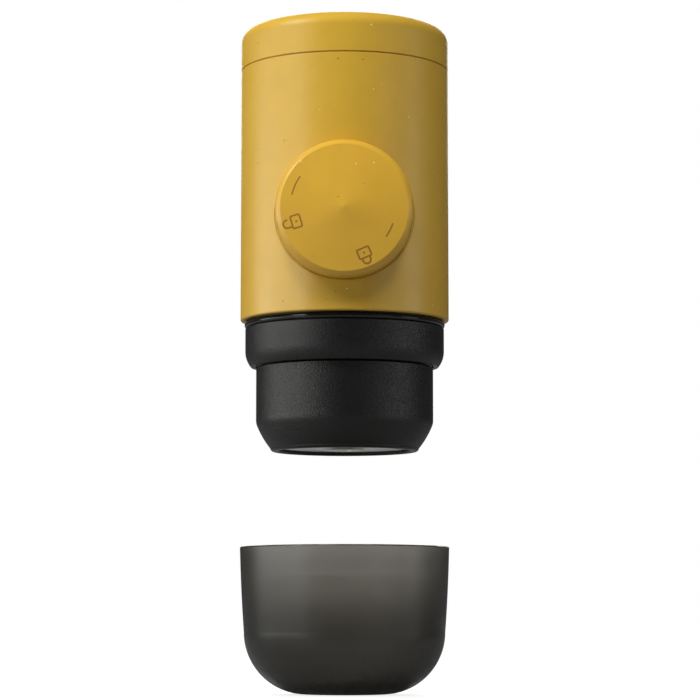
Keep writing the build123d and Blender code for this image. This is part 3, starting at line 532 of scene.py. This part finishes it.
def loft_rings(rings, caps=True):
    """Faces between rings of equal length whose points follow each other in one list."""
    count = len(rings[0])
    points = [point for ring in rings for point in ring]
    faces = [
        (row * count + side, row * count + (side + 1) % count,
         (row + 1) * count + (side + 1) % count, (row + 1) * count + side)
        for row in range(len(rings) - 1)
        for side in range(count)
    ]
    if caps:
        faces += [tuple(range(count)), tuple((len(rings) - 1) * count + side for side in range(count))]
    return points, faces


def join_shapes(shapes):
    """One list of points and one of faces from several shapes."""
    points, faces = [], []
    for more_points, more_faces in shapes:
        faces += [tuple(index + len(points) for index in face) for face in more_faces]
        points += more_points
    return points, faces


def ease(share):
    """Smooth step from 0 to 1."""
    share = min(1.0, max(0.0, share))
    return share * share * (3 - 2 * share)


# --- Small parts ----------------------------------------------------------------------------------


def thread_ridge(wall, crest, low, high, lead, start_angle, base_width, crest_width):
    """One right-hand thread ridge from height low to high. It stands on the wall and reaches the crest."""
    buried = wall - math.copysign(THREAD_ROOT, crest - wall)
    turns = (high - low) / lead
    steps = max(24, int(turns * THREAD_STEPS))
    rings = []
    for step in range(steps + 1):
        share = step / steps
        angle = start_angle + share * turns * 2 * math.pi
        z = low + share * (high - low)
        grow = ease(min(share, 1 - share) / THREAD_FADE)
        radius = wall + (crest - wall) * grow
        base, top = base_width / 2, crest_width / 2 * (0.5 + 0.5 * grow)
        corners = ((buried, -base), (radius, -top), (radius, top), (buried, base))
        rings.append([(r * math.cos(angle), r * math.sin(angle), z + dz) for r, dz in corners])
    return loft_rings(rings)


def thread_ridges(wall, crest, low, high, lead, starts, phase, base_width, crest_width):
    """All the starts of one thread. The phase is the height at which the first start faces +X."""
    ridges = []
    for start in range(starts):
        angle = 2 * math.pi * ((low / lead) - (phase / lead) + start / starts)
        ridges.append(thread_ridge(wall, crest, low, high, lead, angle, base_width, crest_width))
    return join_shapes(ridges)


def knob_face_y(radius):
    """Y of the knob's shallow conical face at a radius from the pump axis."""
    return KNOB_TIP_Y + (radius - KNOB_TIP_RADIUS) * CONE_DEPTH / CONE_WIDTH


def stroke(points, width, closed=False):
    """Flat line of a width through points on the knob's face, as left and right edges."""
    edges = []
    count = len(points)
    for index, point in enumerate(points):
        before = points[index - 1] if closed or index else point
        after = points[(index + 1) % count] if closed or index < count - 1 else point
        first, second = Vector(point) - Vector(before), Vector(after) - Vector(point)
        first = first.normalized() if first.length else second.normalized()
        second = second.normalized() if second.length else first
        along = (first + second).normalized()
        across = Vector((-along.y, along.x)) * (width / 2 / max(0.5, along.dot(first)))
        edges.append((Vector(point) + across, Vector(point) - across))
    return edges


def raise_stroke(edges, closed):
    """Thin solid on the knob's face from a stroke's edges."""
    lift, root = PRINT_LIFT, -2 * PRINT_LIFT
    rings = []
    for left, right in edges:
        ring = []
        for x, z, rise in ((*left, lift), (*right, lift), (*right, root), (*left, root)):
            ring.append((x, knob_face_y(math.hypot(x, z)) - rise, PUMP_Z + z))
        rings.append(ring)
    if closed:
        rings.append(rings[0])
    return loft_rings(rings, caps=not closed)


def arc_points(centre, radius, start, end, steps):
    """Points on an arc, with its angles in degrees."""
    return [
        (centre[0] + radius * math.cos(math.radians(start + (end - start) * step / steps)),
         centre[1] + radius * math.sin(math.radians(start + (end - start) * step / steps)))
        for step in range(steps + 1)
    ]


def padlock_lines(is_open):
    """Lines of a padlock sign round its own centre, shackle up: the body, the shackle and the keyhole."""
    half_width, half_height, corner = 1.75 * MM, 1.3 * MM, 0.35 * MM
    body = []
    for x, z, start in ((1, 1, 0), (-1, 1, 90), (-1, -1, 180), (1, -1, 270)):
        middle = (x * (half_width - corner), z * (half_height - corner) - 1.0 * MM)
        body += arc_points(middle, corner, start, start + 90, 4)
    arch, leg, top = 1.1 * MM, 0.3 * MM, (1.6 if is_open else 1.0) * MM
    free_end = top - 0.35 * MM if is_open else leg
    shackle = [(-arch, leg)] + arc_points((0, top), arch, 180, 0, 12) + [(arch, free_end)]
    keyhole = [(0, -0.75 * MM), (0, -1.35 * MM)]
    return [(body, True), (shackle, False), (keyhole, False)]


def turned_sign(lines, angle, ring):
    """A sign's lines placed on the knob's ring at an angle, with its top outward."""
    spin = Matrix.Rotation(math.radians(angle - 90), 2)
    centre = Vector((math.cos(math.radians(angle)), math.sin(math.radians(angle)))) * ring
    return [([tuple(centre + spin @ Vector(point)) for point in points], closed) for points, closed in lines]


def lathe(profile, centre, facing, sides):
    """Rings of a turned shape: profile holds (radius, height) pairs along its axis from the centre."""
    turn = Vector((0, 0, 1)).rotation_difference(Vector(facing))
    rings = []
    for radius, height in profile:
        ring = []
        for side in range(sides):
            angle = 2 * math.pi * side / sides
            spot = Vector((radius * math.cos(angle), radius * math.sin(angle), height))
            ring.append(tuple(Vector(centre) + turn @ spot))
        rings.append(ring)
    return rings


def screw_profile(head_radius, head, shank):
    """Half outline of a pan-head screw, from the tip of its shank to the rim of its head's flat top."""
    profile = [(SCREW_ROOT * 0.5, -shank), (SCREW_ROOT, -shank + 0.5 * MM)]
    height = -shank + 0.7 * MM
    while height < -0.8 * MM:
        profile += [(SCREW_CREST, height), (SCREW_ROOT, height + SCREW_FLANK)]
        height += SCREW_PITCH
    profile += [(SCREW_CREST, -0.5 * MM), (SCREW_CREST, 0.0)]
    dome = ((1.0, 0.0), (1.0, 0.35), (0.93, 0.66), (0.78, 0.87))
    return profile + [(head_radius * out, head * rise) for out, rise in dome]


def cross_screw(centre, facing, head_radius, head, shank, depth):
    """Pan-head screw with a cross recess and a threaded shank. Its head sits on the centre."""
    profile = screw_profile(head_radius, head, shank)
    points, faces = loft_rings(lathe(profile, centre, facing, SCREW_SIDES), caps=False)
    faces.append(tuple(range(SCREW_SIDES)))
    rim = [len(points) - SCREW_SIDES + side for side in range(SCREW_SIDES)]
    turn = Vector((0, 0, 1)).rotation_difference(Vector(facing))
    reach, half = head_radius * CROSS_REACH, head_radius * CROSS_HALF_WIDTH
    outline = []
    for quarter in range(4):
        spin = Matrix.Rotation(math.radians(90 * quarter), 2)
        outline += [spin @ Vector(corner) for corner in ((reach, -half), (reach, half), (half, half))]
    upper, lower = [], []
    for corner in outline:
        for ring, level, share in ((upper, head, 1.0), (lower, head - depth, CROSS_FLOOR)):
            ring.append(len(points))
            points.append(tuple(Vector(centre) + turn @ Vector((*(corner * share), level))))
    for index in range(CROSS_CORNERS):
        after = (index + 1) % CROSS_CORNERS
        faces.append((upper[index], upper[after], lower[after], lower[index]))
    faces.append(tuple(lower))
    # Skin between the round rim and the cross: each rim point joins the nearest corner of the cross
    nearest = []
    for side in range(SCREW_SIDES):
        angle = 2 * math.pi * side / SCREW_SIDES
        spot = Vector((math.cos(angle), math.sin(angle))) * head_radius
        nearest.append(min(range(CROSS_CORNERS), key=lambda index: (outline[index] - spot).length))
    for side in range(SCREW_SIDES):
        after = (side + 1) % SCREW_SIDES
        here, there = nearest[side], nearest[after]
        while here != there:
            step = (here + 1) % CROSS_CORNERS
            faces.append((rim[side], upper[step], upper[here]))
            here = step
        faces.append((rim[side], rim[after], upper[there]))
    return points, faces


class ESPRESSO_OT_finishes(Operator):
    """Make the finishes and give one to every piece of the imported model"""

    bl_idname = "espresso.finishes"
    bl_label = "Finishes"

    def execute(self, context):
        settings = context.scene.maker_finish
        for node in frame["nodes"].values():
            node.data.materials.clear()
        for plain in list(bpy.data.materials):
            bpy.data.materials.remove(plain)
        make_speck_group()
        make_grain_group()
        make_handling_group()
        make_turned_group()
        make_mustard("mustard_coat", settings.mustard, settings)
        # Lighter copy of the mustard coat on the knob: painted light on its face
        make_mustard("knob_coat", settings.knob_mustard, settings)
        make_knob_mark(settings)
        make_grained("black_grained", settings.grained_black, settings, roughness=0.37, depth=0.00008)
        make_grained("black_frame", settings.frame_black, settings, roughness=0.42, depth=0.00001)
        make_smoke("smoke_clear", settings, roughness=0.16)
        make_smoke("smoke_satin", settings, roughness=0.32)
        upright, pump = (UPRIGHT_AXIS, UPRIGHT_CENTRE), (PUMP_AXIS, PUMP_CENTRE)
        make_metal("stainless", settings.steel, *upright, width=0.0003, roughness=0.30)
        make_metal("spring_steel", scaled(settings.steel, 0.9), *pump, width=0.0006, roughness=0.26)
        make_metal("screw_steel", scaled(settings.steel, 0.88), *upright, width=0.0002, roughness=0.34)
        make_acetal("upright_acetal", settings.acetal, *upright)
        make_acetal("pump_acetal", settings.acetal, *pump)
        make_silicone("black_silicone", settings.black_rubber, roughness=0.13)
        make_silicone("grey_silicone", settings.grey_rubber, roughness=0.42)
        make_level_print()
        for row in frame["record"]["subparts"]:
            finish = FINISH_BY_NODE.get(row["node"], FINISH_BY_SLOT[row["material_slot"]])
            frame["nodes"][row["node"]].data.materials.append(bpy.data.materials[finish])
        materials = [material for material in bpy.data.materials if material.use_nodes]
        for tree in [*bpy.data.node_groups, *(material.node_tree for material in materials)]:
            arrange(tree)
        return {"FINISHED"}


class ESPRESSO_OT_lips(Operator):
    """Line the knob's opening and the cap's seam with thin lips in the colour of the coat"""

    bl_idname = "espresso.lips"
    bl_label = "Lips"

    def execute(self, context):
        recess = context.scene.maker_parts.lip_recess
        corners = (
            (LIP_INNER, LIP_BEVEL), (LIP_OUTER, 0.0), (LIP_OUTER, LIP_DEPTH), (LIP_INNER, LIP_DEPTH))
        rings = []
        for step in range(LIP_STEPS):
            angle = 2 * math.pi * step / LIP_STEPS
            ring = []
            for radius, depth in corners:
                x, z = radius * math.cos(angle), radius * math.sin(angle)
                face = -math.sqrt(SLEEVE_RADIUS * SLEEVE_RADIUS - x * x)
                ring.append((x, face + recess + depth, PUMP_Z + z))
            rings.append(ring)
        lining = loft_rings([*rings, rings[0]], caps=False)
        add_piece("knob_lip", "body", "mustard_coat", "mustard_coat", *lining)
        seam = (0, 0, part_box("tank_cap")[0].z)
        profile = [(radius * MM, height * MM) for radius, height in (*CAP_LIP_PROFILE, CAP_LIP_PROFILE[0])]
        lining = loft_rings(lathe(profile, seam, UPRIGHT_AXIS, LIP_STEPS), caps=False)
        add_piece("cap_lip", "tank", "mustard_coat", "mustard_coat", *lining)
        return {"FINISHED"}


class ESPRESSO_OT_knob_marks(Operator):
    """Put the open and closed padlock signs and two dashes on the knob's face"""

    bl_idname = "espresso.knob_marks"
    bl_label = "Knob Marks"

    def execute(self, context):
        settings = context.scene.maker_parts
        ring, width = settings.mark_radius, settings.mark_stroke
        signs = turned_sign(padlock_lines(is_open=True), OPEN_SIGN, ring)
        signs += turned_sign(padlock_lines(is_open=False), CLOSED_SIGN, ring)
        dashes = [arc_points((0, 0), ring, *UPPER_DASH, 24), arc_points((0, 0), ring * 0.95, *LOWER_DASH, 20)]
        solids = [raise_stroke(stroke(points, width, closed), closed) for points, closed in signs]
        solids += [raise_stroke(stroke(points, width * 0.8), closed=False) for points in dashes]
        add_piece("knob_marks", "knob", "mustard_coat", "knob_mark", *join_shapes(solids), crease=20)
        return {"FINISHED"}


class ESPRESSO_OT_threads(Operator):
    """Add the threads of the brew head and of the tank, on the neck or vessel and on what takes it"""

    bl_idname = "espresso.threads"
    bl_label = "Threads"

    def execute(self, context):
        settings = context.scene.maker_parts
        starts, head_lead, tank_lead = settings.thread_starts, settings.head_lead, settings.tank_lead
        # Piece, body, slot, finish, lead; then in mm the wall, crest, low end, high end, phase and widths
        for name, body, slot, finish, lead, wall, crest, low, high, phase, wide, narrow in (
            ("neck_thread", "head", "black_grained", "black_frame", head_lead,
             23.6, 23.98, 95.4, 100.9, 0.0, 1.5, 0.7),
            ("bore_thread", "body", "black_grained", "black_frame", head_lead,
             24.1, 23.74, 95.6, 101.4, 1.5, 1.5, 0.7),
            ("upstand_thread", "body", "black_frame", "black_frame", tank_lead,
             25.9, 26.16, 159.6, 162.6, 0.0, 1.2, 0.5),
            ("vessel_thread", "tank", "smoke_clear", "smoke_clear", tank_lead,
             26.3, 26.04, 159.9, 163.2, 4.0 / 3, 1.2, 0.5),
        ):
            ridges = thread_ridges(wall * MM, crest * MM, low * MM, high * MM, lead, starts, phase * MM,
                                   wide * MM, narrow * MM)
            add_piece(name, body, slot, finish, *ridges, crease=50)
        return {"FINISHED"}


class ESPRESSO_OT_return_spring(Operator):
    """Wind the return spring with closed end coils"""

    bl_idname = "espresso.return_spring"
    bl_label = "Return Spring"

    def execute(self, context):
        settings = context.scene.maker_parts
        wire, coils = settings.spring_wire, settings.spring_coils
        low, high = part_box("return_spring")
        back, front = high.y - wire, low.y + wire
        steps = coils * COIL_STEPS
        # Rate of climb at each step: slow in the closed end coils, and full between them
        rates = []
        for step in range(steps):
            coils_in = min(step, steps - step) / COIL_STEPS
            rates.append(CLOSED_PITCH + (1 - CLOSED_PITCH) * ease((coils_in - CLOSED_COILS) / OPENING_COILS))
        total, done, rings = sum(rates), 0.0, []
        for step in range(steps + 1):
            angle, rate = 2 * math.pi * step / COIL_STEPS, rates[min(step, steps - 1)]
            out = Vector((math.cos(angle), 0, math.sin(angle)))
            slope = (front - back) * rate / total * COIL_STEPS / (2 * math.pi * SPRING_RADIUS)
            along = Vector((-math.sin(angle), slope, math.cos(angle))).normalized()
            aside = along.cross(out)
            middle = Vector((0, back + (front - back) * done / total, PUMP_Z)) + out * SPRING_RADIUS
            ring = []
            for side in range(WIRE_SIDES):
                turn = 2 * math.pi * side / WIRE_SIDES
                ring.append(tuple(middle + (out * math.cos(turn) + aside * math.sin(turn)) * wire))
            rings.append(ring)
            done += rate
        spring = add_piece("pump_spring", None, "stainless", "spring_steel", *loft_rings(rings), crease=60)
        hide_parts("return_spring")
        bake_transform(spring)
        return {"FINISHED"}


class ESPRESSO_OT_screws(Operator):
    """Make the cross-recessed screws of the frame, the tank deck and the valve block"""

    bl_idname = "espresso.screws"
    bl_label = "Screws"

    def execute(self, context):
        depth = context.scene.maker_parts.recess_depth
        for node, (places, facing, head_radius, head, shank) in SCREWS.items():
            screws = join_shapes([
                cross_screw(Vector(place) * MM, facing, head_radius * MM, head * MM, shank * MM, depth)
                for place in places
            ])
            piece = add_piece(f"{node}_cross", "body", "zinc_screw", "screw_steel", *screws, crease=30)
            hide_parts(node)
        return {"FINISHED"}


class ESPRESSO_OT_level_marks(Operator):
    """Print the level lines and numbers on the tank, the right way up when the maker is turned over"""

    bl_idname = "espresso.level_marks"
    bl_label = "Level Marks"

    def execute(self, context):
        inner, outer = TANK_RADIUS - LEVEL_LIFT, TANK_RADIUS + LEVEL_LIFT
        solids = []
        for number, z in LEVELS:
            wide = math.radians(9 if number % 20 else 12)
            low, high = (z - LEVEL_HALF_WIDTH) * MM, (z + LEVEL_HALF_WIDTH) * MM
            corners = ((inner, low), (outer, low), (outer, high), (inner, high))
            rings = []
            for step in range(LEVEL_STEPS + 1):
                angle = FRONT - wide / 2 + wide * step / LEVEL_STEPS
                rings.append([(r * math.cos(angle), r * math.sin(angle), height) for r, height in corners])
            solids.append(loft_rings(rings))
            solids.append(self.number(str(number), z * MM, wide / 2))
        add_piece("tank_levels", "tank", "smoke_clear", "level_print", *join_shapes(solids), crease=20)
        return {"FINISHED"}

    @staticmethod
    def number(text, z, clear):
        """Raised number wrapped round the tank beside its line."""
        words = bpy.data.curves.new("number", "FONT")
        words.body, words.size, words.extrude = text, NUMBER_SIZE, LEVEL_LIFT
        carrier = bpy.data.objects.new("number", words)
        shape = bpy.data.meshes.new_from_object(carrier)
        points = []
        for vertex in shape.vertices:
            angle = FRONT - clear - (vertex.co.x + NUMBER_GAP) / TANK_RADIUS
            out = TANK_RADIUS + vertex.co.z
            points.append((out * math.cos(angle), out * math.sin(angle), z + NUMBER_DROP - vertex.co.y))
        faces = [tuple(polygon.vertices) for polygon in shape.polygons]
        bpy.data.objects.remove(carrier)
        bpy.data.curves.remove(words)
        bpy.data.meshes.remove(shape)
        return points, faces


# --- Studio ---------------------------------------------------------------------------------------


def add_softbox(name, watts, width, height, azimuth, elevation, mirrored):
    """Softbox one metre from the maker and turned to it. Azimuth 0 is in front, 90 on the right."""
    lamp = bpy.data.lights.new(name, "AREA")
    lamp.shape, lamp.size, lamp.size_y = "RECTANGLE", width, height
    lamp.energy, lamp.color = watts, LAMP_COLOUR
    box = bpy.data.objects.new(name, lamp)
    around, up = math.radians(azimuth), math.radians(elevation)
    arm = Vector((math.sin(around) * math.cos(up), -math.cos(around) * math.cos(up), math.sin(up)))
    box.location = Vector(LAMP_TARGET) + arm
    box.rotation_mode = "QUATERNION"
    box.rotation_quaternion = (-arm).to_track_quat("-Z", "Y")
    box.visible_camera, box.visible_glossy = False, mirrored
    bpy.context.scene.collection.objects.link(box)


def seen_rays(tree):
    """Mask of the rays that see the backdrop: the camera's, glass's and a share of reflections."""
    path = put(tree, "ShaderNodeLightPath").outputs
    direct = sum_up(tree, "MAXIMUM", path["Is Camera Ray"], path["Is Transmission Ray"])
    mirrored = sum_up(tree, "MULTIPLY", path["Is Glossy Ray"], MIRRORED_SHARE)
    return sum_up(tree, "MAXIMUM", direct, mirrored)


def make_room(ambient):
    """World: a white backdrop where it is seen, and an even soft light elsewhere."""
    world = bpy.data.worlds.new("studio_room")
    world.use_nodes = True
    tree = world.node_tree
    tree.nodes.clear()
    soft = put(tree, "ShaderNodeBackground", {"Color": (1.0, 1.0, 1.0, 1.0), "Strength": ambient})
    white = put(tree, "ShaderNodeBackground", {"Color": (1.0, 1.0, 1.0, 1.0), "Strength": 1.0})
    both = put(tree, "ShaderNodeMixShader", {0: seen_rays(tree), 1: soft.outputs[0], 2: white.outputs[0]})
    put(tree, "ShaderNodeOutputWorld", {"Surface": both.outputs[0]})
    arrange(tree)
    bpy.context.scene.world = world


def make_floor():
    """Pale glossy floor that turns to white away from the maker and keeps its shadow."""
    angles = [2 * math.pi * side / FLOOR_SIDES for side in range(FLOOR_SIDES)]
    rings = [[(radius * math.cos(angle), radius * math.sin(angle), 0.0) for angle in angles]
             for radius in FLOOR_RADII]
    points, faces = loft_rings(rings, caps=False)
    mesh = bpy.data.meshes.new("studio_floor")
    mesh.from_pydata(points, [], faces + [tuple(range(FLOOR_SIDES))])
    tree, shader = start_finish("studio_floor", FLOOR_COLOUR, Roughness=0.3, Specular_IOR_Level=0.35)
    place = put(tree, "ShaderNodeTexCoord").outputs["Object"]
    reach = vector_sum(tree, "LENGTH", {0: place}, "Value")
    level = sum_up(tree, "MULTIPLY", spread(tree, reach, *FLOOR_REACH, *FLOOR_LEVELS), seen_rays(tree))
    white = put(tree, "ShaderNodeCombineColor", enumerate((level, level, level))).outputs[0]
    tree.links.new(white, shader["Emission Color"])
    shader["Emission Strength"].default_value = 1.0
    arrange(tree)
    mesh.materials.append(bpy.data.materials["studio_floor"])
    floor = bpy.data.objects.new("studio_floor", mesh)
    bpy.context.scene.collection.objects.link(floor)


class ESPRESSO_OT_studio(Operator):
    """Set up the camera, the softboxes, the white room and the floor"""

    bl_idname = "espresso.studio"
    bl_label = "Studio"

    def execute(self, context):
        settings, scene = context.scene.maker_studio, context.scene
        for leftover in [thing for thing in scene.objects if thing.type in {"CAMERA", "LIGHT"}]:
            bpy.data.objects.remove(leftover)
        camera = bpy.data.objects.new("studio_camera", bpy.data.cameras.new("studio_camera"))
        camera.data.lens, camera.data.sensor_width = settings.lens, 36.0
        camera.data.clip_start, camera.data.clip_end = 0.01, 30.0
        camera.location = (settings.camera_side, -settings.camera_distance, settings.camera_height)
        camera.rotation_euler = (math.pi / 2 + settings.camera_pitch, 0.0, 0.0)
        scene.collection.objects.link(camera)
        scene.camera = camera
        for name, shape in SOFTBOXES.items():
            add_softbox(f"{name}_softbox", getattr(settings, f"{name}_power"), *shape)
        make_room(settings.ambient)
        make_floor()
        scene.view_settings.view_transform = "Standard"
        return {"FINISHED"}


# --- Panel and run --------------------------------------------------------------------------------


class ESPRESSO_PT_maker(Panel):
    """Steps and settings of the espresso maker"""

    bl_idname = "ESPRESSO_PT_maker"
    bl_label = "Espresso Maker"
    bl_space_type = "VIEW_3D"
    bl_region_type = "UI"
    bl_category = "Espresso Maker"

    def draw(self, context):
        layout = self.layout
        for step in STEPS:
            layout.operator(step.bl_idname)
        for settings in (context.scene.maker_finish, context.scene.maker_parts, context.scene.maker_studio):
            box = layout.box()
            for name in settings.__annotations__:
                box.prop(settings, name)


SETTINGS = {
    "maker_finish": FinishSettings, "maker_parts": SmallPartSettings, "maker_studio": StudioSettings}
STEPS = (
    ESPRESSO_OT_finishes, ESPRESSO_OT_studio, ESPRESSO_OT_lips, ESPRESSO_OT_knob_marks,
    ESPRESSO_OT_threads, ESPRESSO_OT_return_spring, ESPRESSO_OT_screws, ESPRESSO_OT_level_marks)


def register():
    """Register the settings, the steps and the panel."""
    for kind in (*SETTINGS.values(), *STEPS, ESPRESSO_PT_maker):
        bpy.utils.register_class(kind)
    for name, kind in SETTINGS.items():
        setattr(bpy.types.Scene, name, PointerProperty(type=kind))


def unregister():
    """Take them all away again."""
    for name in SETTINGS:
        delattr(bpy.types.Scene, name)
    for kind in reversed((*SETTINGS.values(), *STEPS, ESPRESSO_PT_maker)):
        bpy.utils.unregister_class(kind)


def main():
    """Build the whole scene."""
    register()
    for step in STEPS:
        group, name = step.bl_idname.split(".")
        if getattr(getattr(bpy.ops, group), name)() != {"FINISHED"}:
            raise RuntimeError(f"{step.bl_label} did not finish")


if __name__ == "__main__":
    main()
